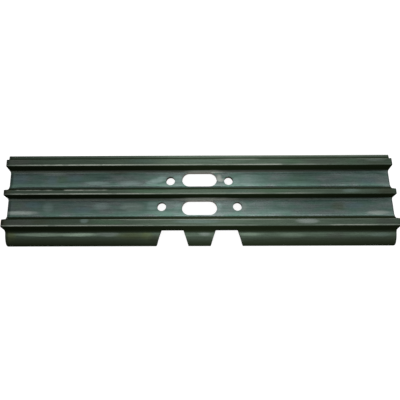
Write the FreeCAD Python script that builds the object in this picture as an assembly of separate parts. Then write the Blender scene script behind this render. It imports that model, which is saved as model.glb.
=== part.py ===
import FreeCAD, Part
import math
import os

from FreeCAD import Vector

# Excavator track shoe with three grousers: one steel bar, hot rolled to its section,
# sheared to length and punched. All sizes are in millimetres.
#
# X runs along the shoe, +Y points to the raised tail edge, -Y to the notched lip,
# and +Z to the ground side, where the grousers stand. Z = 0 is the flat face that
# seats on the chain links, and X = Y = 0 is the centre of the four bolt holes.

# --- driving dimensions ---
shoeLength = 813.0           # 32 inch shoe
pitch = 175.0                # from one shoe to the next along the chain
plateThick = 11.0
grouserRise = 26.0           # above the ground side of the plate
endLean = 1.5                # degrees that both sheared ends stand out of square

tailEdgeY = 81.9             # the raised edge that the next shoe's lip tucks under
tailTopRise = 14.0           # its ledge, above the ground side of the plate
lipEdgeY = -110.2            # outermost line of the curled lip

boltHoleRadius = 9.5         # clears an 18 mm shoe bolt
boltRowGap = 57.0
tailBoltSpacing = 124.4
lipBoltSpacing = 160.4

slotLength = 74.4            # mud slots between the bolt holes, with full-round ends
slotWidth = 31.6
slotOffset = 31.3            # either side of the bolt pattern's centre

notchCentreX = 56.9          # link clearance notches in the lip
notchRootWidth = 45.9
notchMouthWidth = 67.6
notchRootY = -77.9
notchCornerRadius = 2.0

# --- rolled section, in the Y-Z plane ---
groundZ = plateThick
tipZ = plateThick + grouserRise
ledgeZ = plateThick + tailTopRise

# Each grouser from the tail to the lip: its tip's two edges, the draft of its walls
# in degrees, and the radii at the foot of the wall on each side.
grousers = [
    {"tipBack": 68.6, "tipFront": 53.5, "backDraft": 18.0, "frontDraft": 9.3,
     "backFoot": 3.5, "frontFoot": 5.0, "backFootZ": ledgeZ, "frontFootZ": groundZ},
    {"tipBack": 1.5, "tipFront": -9.8, "backDraft": 20.0, "frontDraft": 2.7,
     "backFoot": 14.0, "frontFoot": 5.0, "backFootZ": groundZ, "frontFootZ": groundZ},
    {"tipBack": -61.5, "tipFront": -76.9, "backDraft": 16.0, "frontDraft": 6.6,
     "backFoot": 12.5, "frontFoot": 9.0, "backFootZ": groundZ, "frontFootZ": groundZ},
]
tipRadius = 2.2

# The lip's ground side is an arc about a centre below the foot of the last grouser.
lipCentreY = -80.0
lipRadius = 38.5
lipTipThick = 8.5
lipStartAngle = 13.0         # the last grouser's foot runs into the arc here, in degrees

# The tail's underside clears the next shoe's lip by this much.
lipClearance = 5.0
tailHollowRadius = 30.0
tailHeelRadius = 6.0
tailEdgeRadius = 3.0

# Shearing and punching.
barOverlength = 40.0         # of the rolled bar at each end
toolReach = 20.0             # of the cutting tools past the metal
lipCornerRadius = 3.0        # in plan
leanEndsY = -55.0            # towards the lip the sheared ends run square again


def onSection(y, z):
    return Vector(0, y, z)


def fromLipCentre(centreY, radius, degrees):
    # A point on an arc about the lip's centre, measured from straight up towards -Y.
    turn = math.radians(degrees)
    centreZ = groundZ - lipRadius
    return onSection(centreY - radius * math.sin(turn), centreZ + radius * math.cos(turn))


def cornerArc(before, corner, after, radius):
    # Start, middle and end of the arc that rounds one corner.
    toBefore = (before - corner).normalize()
    toAfter = (after - corner).normalize()
    halfAngle = toBefore.getAngle(toAfter) / 2
    reach = radius / math.tan(halfAngle)
    bisector = (toBefore + toAfter).normalize()
    middle = corner + bisector * (radius / math.sin(halfAngle) - radius)
    return corner + toBefore * reach, middle, corner + toAfter * reach


def roundedPath(corners):
    # Straight runs between (point, radius) corners, each inner corner rounded.
    edges = []
    current = corners[0][0]
    for index in range(1, len(corners) - 1):
        point, radius = corners[index]
        start, middle, end = cornerArc(corners[index - 1][0], point, corners[index + 1][0], radius)
        edges.append(Part.LineSegment(current, start).toShape())
        edges.append(Part.Arc(start, middle, end).toShape())
        current = end
    edges.append(Part.LineSegment(current, corners[-1][0]).toShape())
    return edges


def tailCorners():
    # Heel of the seat, hollow underside and edge of the tail. The hollow is bounded by
    # the tangents of an arc that runs outside the next shoe's lip.
    outsideRadius = lipRadius + lipClearance
    centreY = pitch + lipCentreY
    centreZ = groundZ - lipRadius
    heelRise = math.asin(-centreZ / outsideRadius)
    edgeFall = math.asin((centreY - tailEdgeY) / outsideRadius)
    heelY = centreY - outsideRadius * math.cos(heelRise)
    edgeZ = centreZ + outsideRadius * math.cos(edgeFall)
    heelSlope = 1 / math.tan(heelRise)
    edgeSlope = math.tan(edgeFall)
    hollowY = (edgeZ + heelSlope * heelY - edgeSlope * tailEdgeY) / (heelSlope - edgeSlope)
    hollowZ = heelSlope * (hollowY - heelY)
    return [
        (onSection(heelY, 0), tailHeelRadius),
        (onSection(hollowY, hollowZ), tailHollowRadius),
        (onSection(tailEdgeY, edgeZ), tailEdgeRadius),
        (onSection(tailEdgeY, ledgeZ), tailEdgeRadius),
    ]


def grouserCorners(grouser):
    # Foot, tip, tip and foot of one grouser.
    backRun = (tipZ - grouser["backFootZ"]) * math.tan(math.radians(grouser["backDraft"]))
    frontRun = (tipZ - grouser["frontFootZ"]) * math.tan(math.radians(grouser["frontDraft"]))
    return [
        (onSection(grouser["tipBack"] + backRun, grouser["backFootZ"]), grouser["backFoot"]),
        (onSection(grouser["tipBack"], tipZ), tipRadius),
        (onSection(grouser["tipFront"], tipZ), tipRadius),
        (onSection(grouser["tipFront"] - frontRun, grouser["frontFootZ"]), grouser["frontFoot"]),
    ]


def lipEdges(seatStart):
    # The curled lip: outer arc, full-round end, underside arc, then the seat.
    endRadius = lipTipThick / 2
    middleRadius = lipRadius - endRadius
    reach = lipCentreY - lipEdgeY - endRadius
    endAngle = math.degrees(math.asin(reach / middleRadius))
    outerStart = fromLipCentre(lipCentreY, lipRadius, lipStartAngle)
    outerMiddle = fromLipCentre(lipCentreY, lipRadius, (lipStartAngle + endAngle) / 2)
    outerEnd = fromLipCentre(lipCentreY, lipRadius, endAngle)
    innerEnd = fromLipCentre(lipCentreY, lipRadius - lipTipThick, endAngle)
    turn = math.radians(endAngle)
    outward = onSection(-math.cos(turn), -math.sin(turn))
    endMiddle = fromLipCentre(lipCentreY, middleRadius, endAngle) + outward * endRadius
    # The underside leaves the seat tangent and meets the round end tangent.
    underRadius = -innerEnd.z / (1 - math.cos(turn))
    underStartY = innerEnd.y + underRadius * math.sin(turn)
    underMiddle = onSection(
        underStartY - underRadius * math.sin(turn / 2),
        -underRadius * (1 - math.cos(turn / 2)),
    )
    underStart = onSection(underStartY, 0)
    return [
        Part.Arc(outerStart, outerMiddle, outerEnd).toShape(),
        Part.Arc(outerEnd, endMiddle, innerEnd).toShape(),
        Part.Arc(innerEnd, underMiddle, underStart).toShape(),
        Part.LineSegment(underStart, seatStart).toShape(),
    ]


def rolledSection():
    seatStart = onSection(0, 0)
    corners = [(seatStart, 0)] + tailCorners()
    for grouser in grousers:
        corners += grouserCorners(grouser)
    # The last wall's foot stands on the tangent of the lip's first point.
    lipStart = fromLipCentre(lipCentreY, lipRadius, lipStartAngle)
    foot, footRadius = corners[-1]
    footZ = lipStart.z + (foot.y - lipStart.y) * math.tan(math.radians(lipStartAngle))
    corners[-1] = (onSection(foot.y, footZ), footRadius)
    corners.append((lipStart, 0))
    return Part.Face(Part.Wire(roundedPath(corners) + lipEdges(seatStart)))


def rolledBar():
    barLength = shoeLength + 2 * barOverlength
    bar = rolledSection().extrude(Vector(barLength, 0, 0))
    bar.translate(Vector(-barLength / 2, 0, 0))
    return bar


def roundedPrism(outline, bottomZ, topZ):
    # Upright prism on a closed outline of (x, y, corner radius) points.
    points = [Vector(x, y, bottomZ) for x, y, radius in outline]
    radii = [radius for x, y, radius in outline]
    middle = (points[-1] + points[0]) * 0.5
    path = [(middle, 0)] + list(zip(points, radii)) + [(middle, 0)]
    face = Part.Face(Part.Wire(roundedPath(path)))
    return face.extrude(Vector(0, 0, topZ - bottomZ))


def plan():
    # What the shears leave, seen from above: both ends lean the same way down to the
    # last grouser, and the lip's corners are rounded. The other two corners lie past
    # the tail edge.
    lean = math.tan(math.radians(endLean))
    half = shoeLength / 2
    pastTailY = tailEdgeY + toolReach
    outline = [
        (-half - lean * pastTailY, pastTailY, lipCornerRadius),
        (half - lean * pastTailY, pastTailY, lipCornerRadius),
        (half - lean * leanEndsY, leanEndsY, lipCornerRadius),
        (half - lean * leanEndsY, lipEdgeY, lipCornerRadius),
        (-half - lean * leanEndsY, lipEdgeY, lipCornerRadius),
        (-half - lean * leanEndsY, leanEndsY, lipCornerRadius),
    ]
    return roundedPrism(outline, -toolReach, tipZ + toolReach)


def boltHoles():
    holes = []
    for spacing, y in ((tailBoltSpacing, boltRowGap / 2), (lipBoltSpacing, -boltRowGap / 2)):
        for side in (-1, 1):
            foot = Vector(side * spacing / 2, y, -toolReach)
            holes.append(Part.makeCylinder(boltHoleRadius, tipZ + 2 * toolReach, foot))
    return holes


def mudSlots():
    # Full-round slots: two straight sides and two half circles.
    endRadius = slotWidth / 2
    halfStraight = slotLength / 2 - endRadius
    slots = []
    for centreY in (slotOffset, -slotOffset):
        edges = []
        for side in (-1, 1):
            sideY = centreY + side * endRadius
            left = Vector(-halfStraight, sideY, -toolReach)
            right = Vector(halfStraight, sideY, -toolReach)
            edges.append(Part.LineSegment(left, right).toShape())
            inner = Vector(side * halfStraight, centreY - endRadius, -toolReach)
            outer = Vector(side * halfStraight, centreY + endRadius, -toolReach)
            apex = Vector(side * slotLength / 2, centreY, -toolReach)
            edges.append(Part.Arc(inner, apex, outer).toShape())
        face = Part.Face(Part.Wire(Part.__sortEdges__(edges)))
        slots.append(face.extrude(Vector(0, 0, tipZ + toolReach)))
    return slots


def lipNotches():
    # Trapezoids that open towards the lip's edge. The root corners are rounded.
    flare = (notchMouthWidth - notchRootWidth) / 2 / (notchRootY - lipEdgeY)
    mouthY = lipEdgeY - toolReach
    halfRoot = notchRootWidth / 2
    halfMouth = halfRoot + flare * (notchRootY - mouthY)
    notches = []
    for side in (-1, 1):
        centre = side * notchCentreX
        outline = [
            (centre - halfRoot, notchRootY, notchCornerRadius),
            (centre + halfRoot, notchRootY, notchCornerRadius),
            (centre + halfMouth, mouthY, notchCornerRadius),
            (centre - halfMouth, mouthY, notchCornerRadius),
        ]
        notches.append(roundedPrism(outline, -toolReach, tipZ + toolReach))
    return notches


def trackShoe():
    shoe = rolledBar().common(plan())
    for tool in boltHoles() + mudSlots() + lipNotches():
        shoe = shoe.cut(tool)
    return shoe.removeSplitter()


os.makedirs("parts", exist_ok=True)
shoe = trackShoe()
solid = shoe.Solids[0]
solid.exportStep("parts/track_shoe.step")
box = solid.BoundBox
print("solids", len(shoe.Solids), "valid", solid.isValid(), "volume cm3", round(solid.Volume / 1000, 1))
print("x", round(box.XMin, 2), round(box.XMax, 2), "y", round(box.YMin, 2), round(box.YMax, 2),
      "z", round(box.ZMin, 2), round(box.ZMax, 2))
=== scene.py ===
import math

import bmesh
import bpy
from mathutils import Matrix, Vector


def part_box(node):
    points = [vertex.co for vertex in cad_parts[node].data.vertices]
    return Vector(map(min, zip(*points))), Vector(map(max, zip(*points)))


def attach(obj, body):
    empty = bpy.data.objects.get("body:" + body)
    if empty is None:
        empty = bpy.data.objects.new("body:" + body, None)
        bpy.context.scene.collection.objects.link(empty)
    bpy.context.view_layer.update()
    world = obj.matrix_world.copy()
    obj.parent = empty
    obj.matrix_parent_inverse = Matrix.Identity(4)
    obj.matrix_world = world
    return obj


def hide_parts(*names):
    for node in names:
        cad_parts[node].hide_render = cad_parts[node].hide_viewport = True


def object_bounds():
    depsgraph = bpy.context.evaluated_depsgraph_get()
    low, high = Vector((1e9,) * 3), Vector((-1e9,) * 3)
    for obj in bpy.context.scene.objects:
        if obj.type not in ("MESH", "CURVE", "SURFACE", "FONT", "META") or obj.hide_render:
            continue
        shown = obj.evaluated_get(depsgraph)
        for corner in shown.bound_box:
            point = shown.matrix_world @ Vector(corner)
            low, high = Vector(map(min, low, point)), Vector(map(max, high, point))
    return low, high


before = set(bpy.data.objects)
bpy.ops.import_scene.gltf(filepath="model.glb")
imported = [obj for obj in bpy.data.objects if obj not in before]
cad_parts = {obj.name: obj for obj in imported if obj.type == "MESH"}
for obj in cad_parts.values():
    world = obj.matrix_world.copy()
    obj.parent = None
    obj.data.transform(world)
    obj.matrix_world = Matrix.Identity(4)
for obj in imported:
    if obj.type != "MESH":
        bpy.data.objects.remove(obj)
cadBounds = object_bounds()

mm = 0.001                    # the frame is in metres
lowest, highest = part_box("track_shoe")
print("frame loaded, shoe is", round((highest[0] - lowest[0]) / mm), "mm long")


# the rolled bar

shoeForm = {
    "length": 813.0,          # mm, along X
    "plate": 11.0,            # plate thickness
    "tip": 37.0,              # top of the grousers above the link seat
    "ledge": 25.0,            # top of the tail ledge
    "tailEdge": 81.9,
    "lipEdge": -110.2,
    "endLean": 1.5,           # degrees that the sheared ends stand out of square
    "leanEnds": -55.0,        # y past which the ends run square again
    "lipCorner": 3.0,         # radius in plan
    "tipRound": 2.2,
    "lipRadius": 38.5,
    "lipCentre": -80.0,
    "lipStart": 13.0,         # degrees
    "lipTip": 8.5,            # thickness at the lip's edge
    "arcStep": 9.0,           # degrees between points on the rounds
    "column": 12.0,           # mm between rings along the bar
    # back tip, front tip, back draft, front draft, back foot radius, front foot radius
    "grousers": {
        "tail": (68.6, 53.5, 18.0, 9.3, 3.5, 5.0),
        "middle": (1.5, -9.8, 20.0, 2.7, 14.0, 5.0),
        "lip": (-61.5, -76.9, 16.0, 6.6, 12.5, 9.0),
    },
    # heel of the seat, hollow below the tail and the edge's two corners: y, z, radius
    "tailUnder": ((61.3, 0.0, 6.0), (69.51, 10.07, 30.0), (81.9, 13.98, 3.0), (81.9, 25.0, 3.0)),
}


def arcPoints(centre, radius, startDeg, endDeg):
    # points on an arc, no further apart than the step
    steps = max(2, math.ceil(abs(endDeg - startDeg) / shoeForm["arcStep"]))
    points = []
    for step in range(steps + 1):
        turn = math.radians(startDeg + (endDeg - startDeg) * step / steps)
        points.append(Vector((centre[0] + radius * math.cos(turn), centre[1] + radius * math.sin(turn))))
    return points


def roundCorner(before, corner, after, radius):
    # the arc that rounds a corner off
    toBefore = (before - corner).normalized()
    toAfter = (after - corner).normalized()
    half = toBefore.angle(toAfter) / 2
    middle = (toBefore + toAfter).normalized()
    centre = corner + middle * (radius / math.sin(half))
    start = corner + toBefore * (radius / math.tan(half)) - centre
    end = corner + toAfter * (radius / math.tan(half)) - centre
    startDeg = math.degrees(math.atan2(start.y, start.x))
    endDeg = math.degrees(math.atan2(end.y, end.x))
    endDeg = startDeg + (endDeg - startDeg + 180) % 360 - 180
    return arcPoints(centre, radius, startDeg, endDeg)


def sectionPoints():
    # closed outline of the rolled section, (y, z) in mm
    form = shoeForm
    corners = [(Vector((0, 0)), 0)]
    corners += [(Vector((y, z)), radius) for y, z, radius in form["tailUnder"]]
    for name, (back, front, backDraft, frontDraft, backFoot, frontFoot) in form["grousers"].items():
        footZ = form["ledge"] if name == "tail" else form["plate"]
        backRun = (form["tip"] - footZ) * math.tan(math.radians(backDraft))
        frontRun = (form["tip"] - form["plate"]) * math.tan(math.radians(frontDraft))
        corners.append((Vector((back + backRun, footZ)), backFoot))
        corners.append((Vector((back, form["tip"])), form["tipRound"]))
        corners.append((Vector((front, form["tip"])), form["tipRound"]))
        corners.append((Vector((front - frontRun, form["plate"])), frontFoot))
    # curled lip: ground side, full-round edge, link side
    radius = form["lipRadius"]
    centre = Vector((form["lipCentre"], form["plate"] - radius))
    edgeRadius = form["lipTip"] / 2
    reach = form["lipCentre"] - form["lipEdge"] - edgeRadius
    endDeg = math.degrees(math.asin(reach / (radius - edgeRadius)))
    outer = arcPoints(centre, radius, 90 + form["lipStart"], 90 + endDeg)
    foot, footRadius = corners[-1]
    footZ = outer[0].y + (foot.x - outer[0].x) * math.tan(math.radians(form["lipStart"]))
    corners[-1] = (Vector((foot.x, footZ)), footRadius)
    corners.append((outer[0], 0))
    edgeCentre = centre + (outer[-1] - centre).normalized() * (radius - edgeRadius)
    edge = arcPoints(edgeCentre, edgeRadius, 90 + endDeg, 270 + endDeg)
    under = -edge[-1].y / (1 - math.cos(math.radians(endDeg)))
    underCentre = Vector((edge[-1].x + under * math.sin(math.radians(endDeg)), -under))
    inner = arcPoints(underCentre, under, 90 + endDeg, 90)

    points = []
    for before, (corner, cornerRadius), after in zip(corners, corners[1:], corners[2:]):
        points += roundCorner(before[0], corner, after[0], cornerRadius)
    return points + outer + edge[1:] + inner[1:]


def sheared(x, y):
    # the ends lean, and the lip's corners are rounded off
    form = shoeForm
    side = math.copysign(1, x)
    half = form["length"] / 2
    run = 2 * form["column"]
    share = max(0.0, (abs(x) - half + run) / run)
    lean = math.tan(math.radians(form["endLean"])) * max(y, form["leanEnds"]) * share
    fromEdge = y - form["lipEdge"]
    inset = 0.0
    if fromEdge < form["lipCorner"]:
        inset = form["lipCorner"] - math.sqrt(form["lipCorner"] ** 2 - (form["lipCorner"] - fromEdge) ** 2)
    return x - lean - side * inset * share


def rollBar():
    outline = sectionPoints()
    half = shoeForm["length"] / 2
    count = round(shoeForm["length"] / shoeForm["column"])
    bm = bmesh.new()
    rings = []
    for column in range(count + 1):
        x = -half + shoeForm["length"] * column / count
        rings.append([bm.verts.new(Vector((sheared(x, p.x), p.x, p.y)) * mm) for p in outline])
    for left, right in zip(rings, rings[1:]):
        for index in range(len(outline)):
            after = (index + 1) % len(outline)
            bm.faces.new((left[index], right[index], right[after], left[after]))
    bm.faces.new(rings[0])
    bm.faces.new(list(reversed(rings[-1])))
    bmesh.ops.recalc_face_normals(bm, faces=bm.faces)
    mesh = bpy.data.meshes.new("trackShoe")
    bm.to_mesh(mesh)
    bm.free()
    bar = bpy.data.objects.new("trackShoe", mesh)
    bpy.context.scene.collection.objects.link(bar)
    return bar


# punched openings

punchForm = {
    "boltRadius": 9.5,
    "boltRows": ((28.5, 124.4), (-28.5, 160.4)),    # y, spacing
    "slotLength": 74.4,
    "slotWidth": 31.6,
    "slotRows": (31.3, -31.3),
    "notchCentre": 56.9,
    "notchRoot": 45.9,        # width at the root
    "notchMouth": 67.6,       # width at the lip's edge
    "notchDepthY": -77.9,
    "notchCorner": 2.0,
    "reach": 20.0,            # the punch runs this far past the metal
    "rimRound": 0.7,
    "rimAngle": 35.0,         # degrees; edges sharper than this are rounded
    "sharpAngle": 50.0,       # and sharper than this stay crisp in shading
}


def punchOutlines():
    form = punchForm
    outlines = []
    for y, spacing in form["boltRows"]:
        for side in (-1, 1):
            centre = Vector((side * spacing / 2, y))
            outlines.append(arcPoints(centre, form["boltRadius"], 0, 360)[:-1])
    endRadius = form["slotWidth"] / 2
    halfStraight = form["slotLength"] / 2 - endRadius
    for y in form["slotRows"]:
        right = arcPoints(Vector((halfStraight, y)), endRadius, -90, 90)
        left = arcPoints(Vector((-halfStraight, y)), endRadius, 90, 270)
        outlines.append(right + left)
    mouthY = shoeForm["lipEdge"] - form["reach"]
    flare = (form["notchMouth"] - form["notchRoot"]) / 2 / (form["notchDepthY"] - shoeForm["lipEdge"])
    for side in (-1, 1):
        centre = side * form["notchCentre"]
        halfRoot = form["notchRoot"] / 2
        halfMouth = halfRoot + flare * (form["notchDepthY"] - mouthY)
        mouthRight = Vector((centre + halfMouth, mouthY))
        mouthLeft = Vector((centre - halfMouth, mouthY))
        rootRight = Vector((centre + halfRoot, form["notchDepthY"]))
        rootLeft = Vector((centre - halfRoot, form["notchDepthY"]))
        outline = [mouthLeft, mouthRight]
        outline += roundCorner(mouthRight, rootRight, rootLeft, form["notchCorner"])
        outline += roundCorner(rootRight, rootLeft, mouthLeft, form["notchCorner"])
        outlines.append(outline)
    return outlines


def punchTool():
    bottom = -punchForm["reach"]
    top = shoeForm["tip"] - 1                      # just short of the grousers' tops
    bm = bmesh.new()
    for outline in punchOutlines():
        low = [bm.verts.new(Vector((p.x, p.y, bottom)) * mm) for p in outline]
        high = [bm.verts.new(Vector((p.x, p.y, top)) * mm) for p in outline]
        for index in range(len(outline)):
            after = (index + 1) % len(outline)
            bm.faces.new((low[index], low[after], high[after], high[index]))
        bm.faces.new(list(reversed(low)))
        bm.faces.new(high)
    bmesh.ops.recalc_face_normals(bm, faces=bm.faces)
    mesh = bpy.data.meshes.new("punch")
    bm.to_mesh(mesh)
    bm.free()
    tool = bpy.data.objects.new("punch", mesh)
    bpy.context.scene.collection.objects.link(tool)
    return tool


def applyModifiers(piece):
    depsgraph = bpy.context.evaluated_depsgraph_get()
    mesh = bpy.data.meshes.new_from_object(piece.evaluated_get(depsgraph))
    piece.modifiers.clear()
    piece.data = mesh


def punch(bar):
    tool = punchTool()
    cut = bar.modifiers.new("punch", "BOOLEAN")
    cut.operation = "DIFFERENCE"
    cut.solver = "EXACT"
    cut.object = tool
    applyModifiers(bar)
    bpy.data.objects.remove(tool)


bar = rollBar()
punch(bar)
print("bar rolled and punched,", len(bar.data.polygons), "faces")

rims = bar.modifiers.new("rims", "BEVEL")
rims.width = punchForm["rimRound"] * mm
rims.segments = 2
rims.limit_method = "ANGLE"
rims.angle_limit = math.radians(punchForm["rimAngle"])
rims.harden_normals = False
applyModifiers(bar)
bar.data.polygons.foreach_set("use_smooth", [True] * len(bar.data.polygons))
bar.data.set_sharp_from_angle(angle=math.radians(punchForm["sharpAngle"]))
weight = bar.modifiers.new("weights", "WEIGHTED_NORMAL")
weight.keep_sharp = True
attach(bar, "root")
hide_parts("track_shoe")


# a few short ways to lay shader nodes; lengths in the paint are all in mm
def addNode(tree, kind, inputs=None, **settings):
    made = tree.nodes.new("ShaderNode" + kind)
    for name, value in settings.items():
        setattr(made, name, value)
    for name, value in (inputs or {}).items():
        if isinstance(value, bpy.types.NodeSocket):
            tree.links.new(value, made.inputs[name])
        else:
            made.inputs[name].default_value = value
    return made


def calc(tree, operation, first, second=0.0, third=0.0):
    return addNode(tree, "Math", {0: first, 1: second, 2: third}, operation=operation).outputs[0]


def times(tree, *shares):
    product = shares[0]
    for share in shares[1:]:
        product = calc(tree, "MULTIPLY", product, share)
    return product


def strongest(tree, *shares):
    most = shares[0]
    for share in shares[1:]:
        most = calc(tree, "MAXIMUM", most, share)
    return most


def fade(tree, value, start, end, startShare=0.0, endShare=1.0):
    # goes smoothly from one share to the other as the value passes from start to end
    made = addNode(tree, "MapRange", {"Value": value, "From Min": start, "From Max": end,
                                      "To Min": startShare, "To Max": endShare},
                   interpolation_type="SMOOTHSTEP")
    return made.outputs["Result"]


def band(tree, value, start, full, fullEnd, end):
    # a stripe with soft borders
    return times(tree, fade(tree, value, start, full), fade(tree, value, end, fullEnd))


def tint(tree, share, first, second, kind="MIX"):
    made = addNode(tree, "Mix", data_type="RGBA", blend_type=kind)
    for socket, value in ((0, share), (6, first), (7, second)):
        if isinstance(value, bpy.types.NodeSocket):
            tree.links.new(value, made.inputs[socket])
        else:
            made.inputs[socket].default_value = value if socket == 0 else (*value, 1)
    return made.outputs[2]


def blend(tree, share, first, second):
    made = addNode(tree, "Mix", {0: share, 2: first, 3: second}, data_type="FLOAT")
    return made.outputs[0]


def cloud(tree, place, lump, detail=3.0, roughness=0.55, offset=(0, 0, 0)):
    # noise with lumps of about this size along each axis
    spread = addNode(tree, "Mapping", {"Vector": place, "Scale": [1 / size for size in lump],
                                       "Location": offset})
    made = addNode(tree, "TexNoise", {"Vector": spread.outputs[0], "Scale": 1.0, "Detail": detail,
                                      "Roughness": roughness})
    return made.outputs["Fac"]


def alongShoe(tree, x, stops):
    # a share that changes along the shoe, through the (x, share) stops
    half = shoeForm["length"] / 2
    share = addNode(tree, "MapRange", {"Value": x, "From Min": -half, "From Max": half}).outputs["Result"]
    ramp = addNode(tree, "ValToRGB", {0: share})
    points = ramp.color_ramp.elements
    points.remove(points[1])
    for index, (stop, level) in enumerate(stops):
        position = (stop + half) / (2 * half)
        point = points[0] if index == 0 else points.new(position)
        point.position = position
        point.color = (level, level, level, 1)
    return ramp.outputs["Color"]


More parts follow.
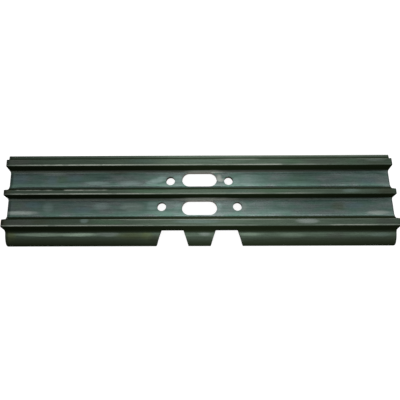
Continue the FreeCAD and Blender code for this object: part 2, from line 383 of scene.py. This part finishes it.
# the paint: colours, lengths in mm, and shares from 0 to 1
shoePaint = {
    "colours": {
        "seatTeal": (0.071, 0.120, 0.100),
        "seatBlue": (0.095, 0.120, 0.114),
        "tipGreen": (0.056, 0.079, 0.058),
        "steelBlue": (0.049, 0.078, 0.086),
        "steelPale": (0.102, 0.145, 0.134),
        "paleBlue": (0.137, 0.190, 0.178),
        "palePink": (0.140, 0.162, 0.150),
        "paleGreen": (0.134, 0.176, 0.137),
        "deepTeal": (0.030, 0.055, 0.049),
        "green": (0.038, 0.071, 0.043),
        "olive": (0.038, 0.046, 0.019),
        "oliveYellow": (0.071, 0.082, 0.010),
        "brown": (0.027, 0.027, 0.017),
        "brownGrey": (0.038, 0.041, 0.036),
        "lipShadeOlive": (0.027, 0.033, 0.018),
        "shadeTone": (0.026, 0.039, 0.017),
        "deepShadeTone": (0.009, 0.013, 0.006),
        "footGlint": (0.135, 0.155, 0.130),
        "slotFootGlint": (0.40, 0.43, 0.38),
        "wornAndHighlight": (0.36, 0.39, 0.34),
        "lightSpot": (0.50, 0.55, 0.50),
        "cutSteelAndSheen": (0.66, 0.63, 0.58),
    },
    "metal": 0.72,            # of the rolled faces
    "gloss": 0.30,            # roughness of the rolled faces
    "glossSpread": (0.06, -0.05),
    "dry": 0.85,              # roughness of the painted shade, the painted foot line and cut faces
    "bump": 0.25,
    "bumpHeight": 0.6,
    # length, width and height of the lumps in the noises
    "patches": (45, 17, 17),
    "streaks": (62, 3.8, 3.8),
    "speckle": (3.8, 3.1, 3.1),
    "rubAndGlintLumps": (24, 9, 9),
    "noiseSpan": (0.3, 0.7),
    "wideSpan": (0.25, 0.75),
    "streakLevel": (0.82, 1.18),
    "speckleLevel": (-0.08, 0.08),
    # two values are a soft border, four are a soft stripe: start, full, full, end
    "groundSide": (4, 8),     # z, link side to ground side
    "outside": (-70, -78),    # y, last grouser to lip
    "tipCoat": (14, 22),      # z, seats to grousers
    "bluePatch": (0.40, 0.64),
    "slopeStart": (0, 2),     # y behind a grouser's back edge
    "slopeEnd": (25, 18),
    "slopeHighlight": 0.36,       # painted highlight: how much lighter the slopes behind the grousers are
    "crest": (-94, -90, -87, -84),
    "crestHighlight": 0.22,       # and the crest of the lip
    "endShadeLeft": (8, 4),     # from the sheared ends
    "endShadeRight": (3, 1),
    "endShadeLevel": 0.55,
    "leaning": (0.60, 0.94),  # painted shade on faces that lean: high on the grousers, turned to the tail, or close to upright
    "topWalls": (19, 23),     # turned to the tail, or close to upright
    "tailFacing": (-0.1, 0.1),
    "plumb": (0.2, 0.5),
    "root": (0.6, 1.6, 9.5, 12.4),
    "rootShade": {"middle": 0.84, "lip": 0.95},
    "ledgeRoot": (70.0, 71.2, 74.5, 76.5),
    "ledgeHeight": (35, 34),
    "ledgeShade": 0.85,
    "lipRoot": (-86.5, -80.0, -78.0, -77.0),
    "upperFoot": (46.4, 47.6, 50.2, 51.4),
    "lowerFoot": (-16.0, -14.6, -12.4, -11.2),
    "footHeight": (8, 10.5, 15.5, 19.0),
    "footGlintBreaks": (0.3, 0.6, 0.6, 1.0),
    "frontEdge": (0.9, 1.6, 2.8, 3.8),
    "backEdge": (-2.6, -1.4, -0.2, 0.8),
    "edgeHeight": (33.5, 35.2),
    "tailEdge": (78.4, 79.6, 81.2, 82.4),
    "tailHeight": (21, 23),
    "edgeLevel": (0.55, 0.8), # only edges that lie flat get wear and painted highlight
    "tailLevel": (0.5, 0.75),
    "rubAndGlintBreaks": (0.34, 0.52, 0.45, 1),
    "lipShade": (-90.5, -104),   # y, over the lip's outer half
    "lipShadeSpread": (50, 200, 0.46, 0.68),
    "lipShadeDry": 0.7,
    # levels along the shoe: (x, share) stops
    # painted sheen: seats and grousers lighter in the middle, darker towards the ends
    "seatPaintedSheen": ((-406, 0.50), (-300, 0.58), (-200, 0.60), (-120, 0.70), (-80, 0.98), (80, 1.0),
                  (150, 0.84), (230, 0.62), (320, 0.66), (406, 0.76)),
    "tipPaintedSheen": ((-406, 0.42), (-300, 0.54), (-150, 0.66), (-60, 0.95), (60, 1.0), (160, 0.92),
                 (300, 0.78), (406, 0.64)),
    # painted shade in the walls and roots, deeper towards the ends
    "shadeDepth": ((-406, 1.0), (-150, 0.7), (0, 0.0), (150, 0.15), (406, 0.7)),
    "footGlintAlong": ((-406, 0.6), (-320, 0.9), (-170, 0.6), (-100, 0.9), (0, 1.0), (100, 1.0),
                 (200, 0.75), (300, 0.35), (406, 0.2)),
    "tailWearAndHighlight": ((-200, 0.0), (-60, 0.1), (40, 0.3), (120, 0.5), (260, 0.5), (330, 0.35),
                 (406, 0.25)),
    "frontWearAndHighlight": {
        "tail": ((-406, 0.1), (-380, 0.35), (-320, 0.75), (-280, 1.0), (-185, 1.0), (-130, 0.55),
                 (-50, 0.68), (0, 0.5), (64, 0.4), (96, 0.85), (165, 1.0), (176, 0.1), (210, 0.35),
                 (250, 0.25), (300, 0.05)),
        "middle": ((-406, 0.1), (-380, 0.4), (-290, 0.5), (-256, 0.8), (-160, 0.55), (-128, 0.7),
                   (-90, 0.3), (-32, 0.35), (32, 0.2), (96, 0.5), (150, 0.1), (192, 0.4),
                   (225, 0.15), (260, 0.0)),
        "lip": ((-406, 0.2), (-384, 0.45), (-256, 0.5), (-192, 0.5), (-100, 0.25), (0, 0.15),
                (96, 0.2), (130, 0.0), (240, 0.1), (262, 0.1), (275, 0.6), (335, 0.6), (360, 0.3),
                (406, 0.25)),
    },
    "backWearAndHighlight": {
        "tail": ((30, 0.0), (60, 0.35), (110, 0.35), (130, 0.0), (300, 0.0), (330, 0.1), (390, 0.1),
                 (406, 0.0)),
        "middle": ((-382, 0.0), (-378, 0.3), (-366, 0.3), (-362, 0.05), (-359, 0.25), (-349, 0.25),
                   (-345, 0.05), (-342, 0.25), (-332, 0.25), (-328, 0.05), (-319, 0.3), (-309, 0.3),
                   (-304, 0.0), (-282, 0.0), (-278, 0.65), (-243, 0.65), (-240, 0.2), (-236, 0.4),
                   (-196, 0.4), (-190, 0.0)),
        "lip": ((-240, 0.0), (-180, 0.15), (-96, 0.4), (0, 0.35), (32, 0.7), (64, 0.4), (128, 0.35),
                (200, 0.1), (350, 0.1), (406, 0.1)),
    },
    # soft marks in the coat, painted reflections and highlights among stains: colour, x, y, half length, half
    # width, share
    "markDepth": 8,           # a mark is gone this far above or below its height
    "markBorder": (0.05, 1.6),
    "ragged": 0.3,
    "lipMarkHeight": 9,
    "seatMarks": {
        "leftEndBlue": ("steelBlue", -385, 35, 18, 12, 0.6),
        "leftEndDull": ("deepTeal", -350, 31, 17, 9, 0.4),
        "upperStreak": ("palePink", -312, 44, 28, 3, 0.5),
        "leftBlue": ("steelBlue", -317, 32, 11, 12, 0.5),
        "leftGreen": ("green", -296, 33, 11, 9, 0.5),
        "leftTeal": ("steelBlue", -268, 36, 15, 9, 0.5),
        "leftPale": ("paleBlue", -220, 24, 28, 4, 0.5),
        "deepPatch": ("deepTeal", -201, 34, 20, 7, 0.6),
        "footStain": ("brown", -176, 49, 22, 5, 0.6),
        "leftPaleTwo": ("paleBlue", -149, 24, 28, 5, 0.45),
        "boltStreakLow": ("paleBlue", -104, 25, 13, 4, 0.6),
        "boltStreak": ("paleBlue", -92, 29, 13, 5, 0.7),
        "boltStreakHigh": ("paleBlue", -80, 34, 10, 5, 0.7),
        "leftOfSlot": ("paleBlue", -46, 33, 10, 10, 0.6),
        "mossOnWall": ("oliveYellow", -33, 54, 16, 4, 0.8),
        "mossOnFoot": ("olive", -48, 50, 24, 4, 0.5),
        "rightOfBolt": ("paleBlue", 78, 28, 7, 7, 0.5),
        "rightPale": ("steelPale", 108, 30, 28, 12, 0.4),
        "rightGreen": ("green", 209, 34, 18, 11, 0.3),
        "rightDeep": ("deepTeal", 290, 28, 24, 6, 0.4),
        "rightStreak": ("steelPale", 335, 41, 50, 4, 0.45),
        "rightBlue": ("steelBlue", 361, 28, 22, 8, 0.4),
        "lowerGreen": ("green", -385, -26, 11, 9, 0.4),
        "lowerBlue": ("steelBlue", -353, -24, 18, 7, 0.6),
        "lowerEndPale": ("palePink", -376, -41, 34, 5, 0.8),
        "lowerBlueTwo": ("steelPale", -320, -29, 11, 11, 0.35),
        "lowerDeep": ("deepTeal", -279, -22, 17, 6, 0.5),
        "lowerBlueThree": ("steelBlue", -248, -35, 20, 7, 0.5),
        "lowerPale": ("paleBlue", -208, -27, 20, 8, 0.35),
        "lowerPink": ("palePink", -143, -29, 24, 10, 0.35),
        "lowerBoltLeft": ("paleBlue", -100, -27, 11, 9, 0.35),
        "lowerSlotLeft": ("paleBlue", -46, -28, 8, 9, 0.35),
        "lowerSlotRight": ("paleBlue", 41, -28, 7, 9, 0.8),
        "lowerBoltHalo": ("palePink", 92, -29, 8, 11, 0.5),
        "lowerLightGreen": ("steelPale", 150, -39, 44, 6, 0.3),
        "lowerOlive": ("olive", 292, -29, 15, 11, 0.4),
        "lowerViolet": ("steelBlue", 326, -27, 20, 7, 0.6),
        "lowerRightPale": ("palePink", 374, -43, 24, 5, 0.8),
        "footShade": ("deepTeal", 320, 48, 110, 3.5, 0.6),
        "lowerFootShade": ("deepTeal", 320, -14.5, 110, 3.5, 0.6),
    },
    "tipMarks": {
        "tailLeftDull": ("brownGrey", -384, 63, 28, 7, 0.6),
        "tailLeftTeal": ("deepTeal", -120, 64, 34, 6, 0.3),
        "tailPale": ("steelPale", 5, 63, 84, 3, 0.15),
        "tailGreen": ("green", 195, 62, 18, 7, 0.5),
        "tailBrown": ("brownGrey", 258, 62, 34, 7, 0.4),
        "tailRightGreen": ("green", 321, 62, 13, 7, 0.3),
        "tailRightPale": ("palePink", 370, 65, 22, 3, 0.25),
        "tailRightBrown": ("brown", 369, 57, 22, 4, 0.3),
        "middleLeftEnd": ("brown", -400, -2, 10, 9, 0.6),
        "middleGreen": ("green", -105, -1, 44, 7, 0.6),
        "middleTeal": ("deepTeal", 84, -4, 34, 5, 0.3),
        "middleRightGreen": ("green", 156, -2, 34, 6, 0.5),
        "middlePale": ("steelPale", 315, -2.5, 18, 4, 0.4),
        "middleRightEnd": ("brown", 385, -4, 18, 8, 0.5),
        "lipLeftEnd": ("brown", -402, -68, 9, 12, 0.6),
        "lipLeftDull": ("brownGrey", -366, -68, 30, 8, 0.6),
        "lipLeftBrown": ("brown", -325, -67, 18, 5, 0.4),
        "lipLeftPale": ("paleBlue", -235, -65, 8, 5, 0.4),
        "lipLeftGreen": ("green", -190, -68, 34, 6, 0.5),
        "lipPale": ("steelPale", -5, -67, 44, 4, 0.5),
        "lipRightPale": ("palePink", 218, -66, 22, 6, 0.8),
        "lipRightDull": ("brownGrey", 376, -67, 20, 7, 0.5),
    },
    "lipMarks": {
        "leftOlive": ("olive", -394, -95, 13, 20, 0.6),
        "leftCrest": ("paleGreen", -332, -87.5, 50, 4, 0.5),
        "leftBright": ("paleGreen", -249, -88, 38, 4, 0.8),
        "leftPink": ("palePink", -190, -87, 24, 5, 0.3),
        "oliveBesideNotch": ("olive", -142, -91, 30, 10, 0.6),
        "mossBesideNotch": ("oliveYellow", -109, -91, 12, 11, 0.25),
        "brownBesideNotch": ("brown", -94, -99, 14, 10, 0.5),
        "toothPale": ("palePink", 11, -87.5, 13, 4, 0.5),
        "rightBright": ("paleGreen", 104, -88.5, 26, 4, 0.4),
        "rightPale": ("paleGreen", 192, -91, 24, 5, 0.2),
        "rightDull": ("brownGrey", 282, -92, 20, 9, 0.5),
        "rightEndBlue": ("paleBlue", 372, -89.5, 22, 4, 0.15),
    },
    # painted highlight on the feet above the slots
    "slotFootGlints": {
        "aboveUpperSlot": ("slotFootGlint", 14, 48.6, 46, 3, 0.8),
        "aboveLowerSlot": ("slotFootGlint", 16, -13, 70, 3, 0.7),
    },
    # light, matte spots beside the upper slot
    "lightSpots": {
        "rightOfSlot": ("lightSpot", 41.5, 35, 6, 8, 1.0),
        "rightOfSlotLow": ("lightSpot", 46, 30, 6, 4, 0.7),
    },
    "slotSteelAndSheen": 0.9,         # how much bare steel and painted highlight the punched walls carry
    "boltSteelAndSheen": 0.4,
    "seatReach": 50,          # the openings in the seats lie this near the middle, along Y
    "boltReach": (100, 40),   # and the bolt holes this near, along X and Y
}


def markHeight(tree, at, height):
    # how far above or below the marks' height, squared, with a ragged border
    depth = shoePaint["markDepth"]
    off = calc(tree, "MULTIPLY_ADD", at["z"], 1 / depth, -height / depth)
    return calc(tree, "MULTIPLY_ADD", off, off, at["ragged"])


def markShare(tree, at, off, mark):
    colour, x, y, halfLength, halfWidth, share = mark
    along = calc(tree, "MULTIPLY_ADD", at["x"], 1 / halfLength, -x / halfLength)
    across = calc(tree, "MULTIPLY_ADD", at["y"], 1 / halfWidth, -y / halfWidth)
    reach = calc(tree, "MULTIPLY_ADD", across, across, calc(tree, "MULTIPLY_ADD", along, along, off))
    return fade(tree, reach, *shoePaint["markBorder"], share, 0)


def places(tree):
    # where a point of the shoe lies, which way it faces, and the noises that all coats share
    paint = shoePaint
    spot = addNode(tree, "TexCoord")
    inMm = addNode(tree, "VectorMath", {0: spot.outputs["Object"], "Scale": 1 / mm}, operation="SCALE")
    place = inMm.outputs[0]
    where = addNode(tree, "SeparateXYZ", {0: place}).outputs
    facing = addNode(tree, "SeparateXYZ", {0: spot.outputs["Normal"]}).outputs
    at = {"place": place, "x": where[0], "y": where[1], "z": where[2], "side": facing[1]}
    at["up"] = calc(tree, "ABSOLUTE", facing[2])
    at["fromMiddle"] = calc(tree, "ABSOLUTE", where[0])
    lean = calc(tree, "MULTIPLY", calc(tree, "MAXIMUM", where[1], shoeForm["leanEnds"]),
                math.tan(math.radians(shoeForm["endLean"])))
    at["square"] = calc(tree, "ADD", where[0], lean)           # x as if the ends were square
    at["groundSide"] = fade(tree, where[2], *paint["groundSide"])
    at["outside"] = fade(tree, where[1], *paint["outside"])
    at["patches"] = cloud(tree, place, paint["patches"], 4.0)
    at["streaks"] = cloud(tree, place, paint["streaks"], 3.0, 0.6)
    at["speckle"] = cloud(tree, place, paint["speckle"], 2.0, 0.6)
    at["ragged"] = fade(tree, at["patches"], *paint["noiseSpan"], -paint["ragged"], paint["ragged"])
    return at


def rolledSkin(tree, at):
    paint = shoePaint
    colours = paint["colours"]
    blue = fade(tree, at["patches"], *paint["bluePatch"])
    seat = tint(tree, blue, colours["seatTeal"], colours["seatBlue"])
    # painted sheen along the seats and tips, lighter in the middle
    seat = tint(tree, 1.0, seat, alongShoe(tree, at["x"], paint["seatPaintedSheen"]), "MULTIPLY")
    tip = tint(tree, 1.0, colours["tipGreen"], alongShoe(tree, at["x"], paint["tipPaintedSheen"]), "MULTIPLY")
    skin = tint(tree, strongest(tree, fade(tree, at["z"], *paint["tipCoat"]), at["outside"]), seat, tip)
    layers = ((shoeForm["plate"], paint["seatMarks"]), (shoeForm["tip"], paint["tipMarks"]),
              (paint["lipMarkHeight"], paint["lipMarks"]))
    for height, marks in layers:
        off = markHeight(tree, at, height)
        for mark in marks.values():
            skin = tint(tree, markShare(tree, at, off, mark), skin, colours[mark[0]])
    level = calc(tree, "ADD", fade(tree, at["streaks"], *paint["wideSpan"], *paint["streakLevel"]),
                 fade(tree, at["speckle"], *paint["wideSpan"], *paint["speckleLevel"]))
    # painted highlight: the slopes behind the grousers and the lip's crest are lighter
    for name in ("middle", "lip"):
        back = shoeForm["grousers"][name][0]
        slope = times(tree, fade(tree, at["y"], *[back + run for run in paint["slopeEnd"]]),
                      fade(tree, at["y"], *[back + run for run in paint["slopeStart"]]),
                      at["groundSide"], paint["slopeHighlight"])
        level = times(tree, level, calc(tree, "ADD", slope, 1.0))
    crest = times(tree, band(tree, at["y"], *paint["crest"]), at["groundSide"], paint["crestHighlight"])
    level = times(tree, level, calc(tree, "ADD", crest, 1.0))
    # painted shade: a darker strip along the sheared ends
    half = shoeForm["length"] / 2
    left = fade(tree, at["square"], *[-half + run for run in paint["endShadeLeft"]])
    right = fade(tree, at["square"], *[half - run for run in paint["endShadeRight"]])
    level = times(tree, level, fade(tree, strongest(tree, left, right), 0, 1, 1, paint["endShadeLevel"]))
    return tint(tree, 1.0, skin, level, "MULTIPLY")


def shadeShare(tree, at):
    # painted shade on upright walls, the roots behind the grousers and the root of the lip
    paint = shoePaint
    paintedShade = fade(tree, at["up"], *paint["leaning"], 1, 0)
    held = strongest(tree, fade(tree, at["z"], *paint["topWalls"]), fade(tree, at["side"], *paint["tailFacing"]),
                     fade(tree, at["up"], *paint["plumb"], 1, 0), at["outside"])
    paintedShade = times(tree, paintedShade, held)
    for name, most in paint["rootShade"].items():
        back = shoeForm["grousers"][name][0]
        stripe = band(tree, at["y"], *[back + run for run in paint["root"]])
        paintedShade = strongest(tree, paintedShade, times(tree, stripe, at["groundSide"], most))
    ledgeRoot = times(tree, band(tree, at["y"], *paint["ledgeRoot"]),
                      fade(tree, at["z"], *paint["ledgeHeight"], 0, paint["ledgeShade"]), at["groundSide"])
    lipRoot = times(tree, band(tree, at["y"], *paint["lipRoot"]), at["groundSide"])
    return strongest(tree, paintedShade, ledgeRoot, lipRoot)


def footGlintShare(tree, at):
    # painted highlight: a thin bright line along the feet of the front walls
    paint = shoePaint
    stripes = strongest(tree, band(tree, at["y"], *paint["upperFoot"]),
                        band(tree, at["y"], *paint["lowerFoot"]))
    feet = times(tree, stripes, band(tree, at["z"], *paint["footHeight"]))
    return times(tree, feet, alongShoe(tree, at["x"], paint["footGlintAlong"]),
                 fade(tree, at["streaks"], *paint["footGlintBreaks"]))


def wearAndHighlightShare(tree, at):
    # rubbed edges, partly painted highlight: front and back of each grouser's top, and the tail's outer edge
    paint = shoePaint
    edgeWearAndHighlight = None
    for name, (back, front, *rest) in shoeForm["grousers"].items():
        frontRubAndGlint = times(tree, band(tree, at["y"], *[front + run for run in paint["frontEdge"]]),
                         alongShoe(tree, at["x"], paint["frontWearAndHighlight"][name]))
        backRubAndGlint = times(tree, band(tree, at["y"], *[back + run for run in paint["backEdge"]]),
                        alongShoe(tree, at["x"], paint["backWearAndHighlight"][name]))
        rubAndGlint = strongest(tree, frontRubAndGlint, backRubAndGlint)
        edgeWearAndHighlight = rubAndGlint if edgeWearAndHighlight is None else strongest(tree, edgeWearAndHighlight, rubAndGlint)
    broken = fade(tree, cloud(tree, at["place"], paint["rubAndGlintLumps"], 3.0, 0.6, (5, 0, 0)), *paint["rubAndGlintBreaks"])
    edgeWearAndHighlight = times(tree, edgeWearAndHighlight, fade(tree, at["z"], *paint["edgeHeight"]),
                 fade(tree, at["up"], *paint["edgeLevel"]), broken)
    tail = times(tree, band(tree, at["y"], *paint["tailEdge"]), fade(tree, at["z"], *paint["tailHeight"]),
                 alongShoe(tree, at["x"], paint["tailWearAndHighlight"]), fade(tree, at["up"], *paint["tailLevel"]))
    return strongest(tree, edgeWearAndHighlight, tail)


def paintShoe():
    paint = shoePaint
    colours = paint["colours"]
    material = bpy.data.materials.new("darkPaint")
    material.use_nodes = True
    tree = material.node_tree
    shader = tree.nodes["Principled BSDF"]
    at = places(tree)
    skin = rolledSkin(tree, at)
    # painted shade: darker over the lip's outer half, where it curls down away from the light
    lipShade = times(tree, fade(tree, at["y"], *paint["lipShade"]), at["outside"],
                  fade(tree, at["fromMiddle"], *paint["lipShadeSpread"]))
    skin = tint(tree, lipShade, skin, colours["lipShadeOlive"])
    # painted shade: upright walls and roots darkened to a green-black tone
    paintedShade = shadeShare(tree, at)
    shadeTone = tint(tree, alongShoe(tree, at["x"], paint["shadeDepth"]), colours["shadeTone"], colours["deepShadeTone"])
    skin = tint(tree, paintedShade, skin, shadeTone)
    # painted highlight along the front feet
    footGlint = footGlintShare(tree, at)
    skin = tint(tree, footGlint, skin, colours["footGlint"])
    # worn edges lightened, partly painted highlight
    wornAndHighlight = wearAndHighlightShare(tree, at)
    skin = tint(tree, wornAndHighlight, skin, colours["wornAndHighlight"])
    off = markHeight(tree, at, shoeForm["plate"])
    # painted highlight on the feet above the slots
    for mark in paint["slotFootGlints"].values():
        skin = tint(tree, markShare(tree, at, off, mark), skin, colours[mark[0]])
    for spot in paint["lightSpots"].values():
        lightSpotShare = markShare(tree, at, off, spot)
        skin = tint(tree, lightSpotShare, skin, colours[spot[0]])
        wornAndHighlight = strongest(tree, wornAndHighlight, lightSpotShare)
    # bare cut steel on the punched walls, with painted highlight
    cut = addNode(tree, "Attribute", attribute_name="cutFace").outputs["Fac"]
    skin = tint(tree, cut, skin, colours["cutSteelAndSheen"])
    tree.links.new(skin, shader.inputs["Base Color"])

    dry = strongest(tree, paintedShade, footGlint, times(tree, lipShade, paint["lipShadeDry"]), wornAndHighlight, cut)
    tree.links.new(blend(tree, dry, paint["metal"], 0.0), shader.inputs["Metallic"])
    uneven = fade(tree, at["patches"], *paint["noiseSpan"], *paint["glossSpread"])
    gloss = calc(tree, "ADD", uneven, paint["gloss"])
    tree.links.new(blend(tree, dry, gloss, paint["dry"]), shader.inputs["Roughness"])
    shader.inputs["Specular IOR Level"].default_value = 0.0
    scale = addNode(tree, "Bump", {"Strength": paint["bump"], "Distance": paint["bumpHeight"] * mm,
                                   "Height": calc(tree, "ADD", at["speckle"], at["streaks"])})
    tree.links.new(scale.outputs[0], shader.inputs["Normal"])
    return material


def markCutFaces(bar):
    # share of bare cut steel and painted highlight on each face: slots bright, bolt holes duller
    mesh = bar.data
    cut = mesh.attributes.new("cutFace", "FLOAT", "FACE")
    halfSlot = punchForm["slotLength"] / 2 + 1
    boltX, boltY = shoePaint["boltReach"]
    for face in mesh.polygons:
        x, y, z = face.center / mm
        flat = abs(face.normal.z) > 0.5
        if flat or z > shoeForm["plate"] + 0.5 or abs(y) > shoePaint["seatReach"]:
            continue
        facesEnd = abs(face.normal.x) > 0.98
        if abs(x) < halfSlot:
            cut.data[face.index].value = shoePaint["slotSteelAndSheen"]
        elif abs(x) < boltX and abs(y) < boltY and not facesEnd:
            cut.data[face.index].value = shoePaint["boltSteelAndSheen"]


markCutFaces(bar)
bar.data.materials.clear()
bar.data.materials.append(paintShoe())
print("shoe painted")


# stage, light and camera

stageForm = {
    "floorSize": 40.0,        # m
    "floorColour": (0.30, 0.30, 0.30),
    "floorGlow": 0.90,        # white that only the eye and reflections get
    "ambient": 0.35,          # white that the world sheds on the shoe
    # place, size and brightness; the one behind leans to the shoe, the rest shine straight down
    "softBoxes": {
        "overhead": ((0.0, 0.20, 1.60), (3.0, 2.6), 0.50),
        "behind": ((0.0, 1.60, 1.30), (2.4, 1.0), 2.2),
        "front": ((0.0, -0.60, 1.50), (2.6, 0.5), 0.5),
        "middle": ((0.05, 0.50, 1.55), (0.8, 1.4), 0.6),
    },
}


def seenRays(tree):
    # the eye's own rays and those off gloss or through glass
    ray = addNode(tree, "LightPath").outputs
    seen = calc(tree, "MAXIMUM", ray["Is Camera Ray"], ray["Is Glossy Ray"])
    return calc(tree, "MAXIMUM", seen, ray["Is Transmission Ray"])


def layFloor():
    half = stageForm["floorSize"] / 2
    z = cadBounds[0][2]
    corners = [(-half, -half, z), (half, -half, z), (half, half, z), (-half, half, z)]
    mesh = bpy.data.meshes.new("floor")
    mesh.from_pydata(corners, [], [(0, 1, 2, 3)])
    floor = bpy.data.objects.new("floor", mesh)
    bpy.context.scene.collection.objects.link(floor)
    material = bpy.data.materials.new("paleFloor")
    material.use_nodes = True
    tree = material.node_tree
    tree.nodes.clear()
    glowLevel = calc(tree, "MULTIPLY", seenRays(tree), stageForm["floorGlow"])
    glow = addNode(tree, "Emission", {"Strength": glowLevel})
    matte = addNode(tree, "BsdfDiffuse", {"Color": (*stageForm["floorColour"], 1)})
    both = addNode(tree, "AddShader", {0: matte.outputs[0], 1: glow.outputs[0]})
    addNode(tree, "OutputMaterial", {"Surface": both.outputs[0]})
    mesh.materials.append(material)


def hangLights():
    world = bpy.data.worlds.new("studio")
    bpy.context.scene.world = world
    world.use_nodes = True
    tree = world.node_tree
    sky = tree.nodes["Background"]
    tree.links.new(blend(tree, seenRays(tree), stageForm["ambient"], 1.0), sky.inputs["Strength"])
    sky.inputs["Color"].default_value = (1, 1, 1, 1)
    for name, (place, size, brightness) in stageForm["softBoxes"].items():
        lamp = bpy.data.lights.new(name, "AREA")
        lamp.shape = "RECTANGLE"
        lamp.size, lamp.size_y = size
        lamp.energy = brightness * math.pi * size[0] * size[1]
        light = bpy.data.objects.new(name, lamp)
        light.location = place
        if name == "behind":
            light.rotation_euler = (-Vector(place)).to_track_quat("-Z", "Y").to_euler()
        bpy.context.scene.collection.objects.link(light)


cameraForm = {
    "lens": 40.15,
    "place": (0.0078, -0.2714, 0.9206),
    "tilt": 15.775,           # degrees off straight down, towards the tail
    "yaw": 0.409,
    "roll": -0.2123,
}


def setCamera():
    data = bpy.data.cameras.new("camera")
    data.lens = cameraForm["lens"]
    camera = bpy.data.objects.new("camera", data)
    turn = Matrix.Rotation(math.radians(cameraForm["tilt"]), 3, "X")
    turn = turn @ Matrix.Rotation(math.radians(cameraForm["yaw"]), 3, "Y")
    turn = turn @ Matrix.Rotation(math.radians(cameraForm["roll"]), 3, "Z")
    camera.location = cameraForm["place"]
    camera.rotation_euler = turn.to_euler()
    bpy.context.scene.collection.objects.link(camera)
    bpy.context.scene.camera = camera


layFloor()
hangLights()
setCamera()
bpy.context.scene.view_settings.view_transform = "Standard"
print("stage, light and camera set")
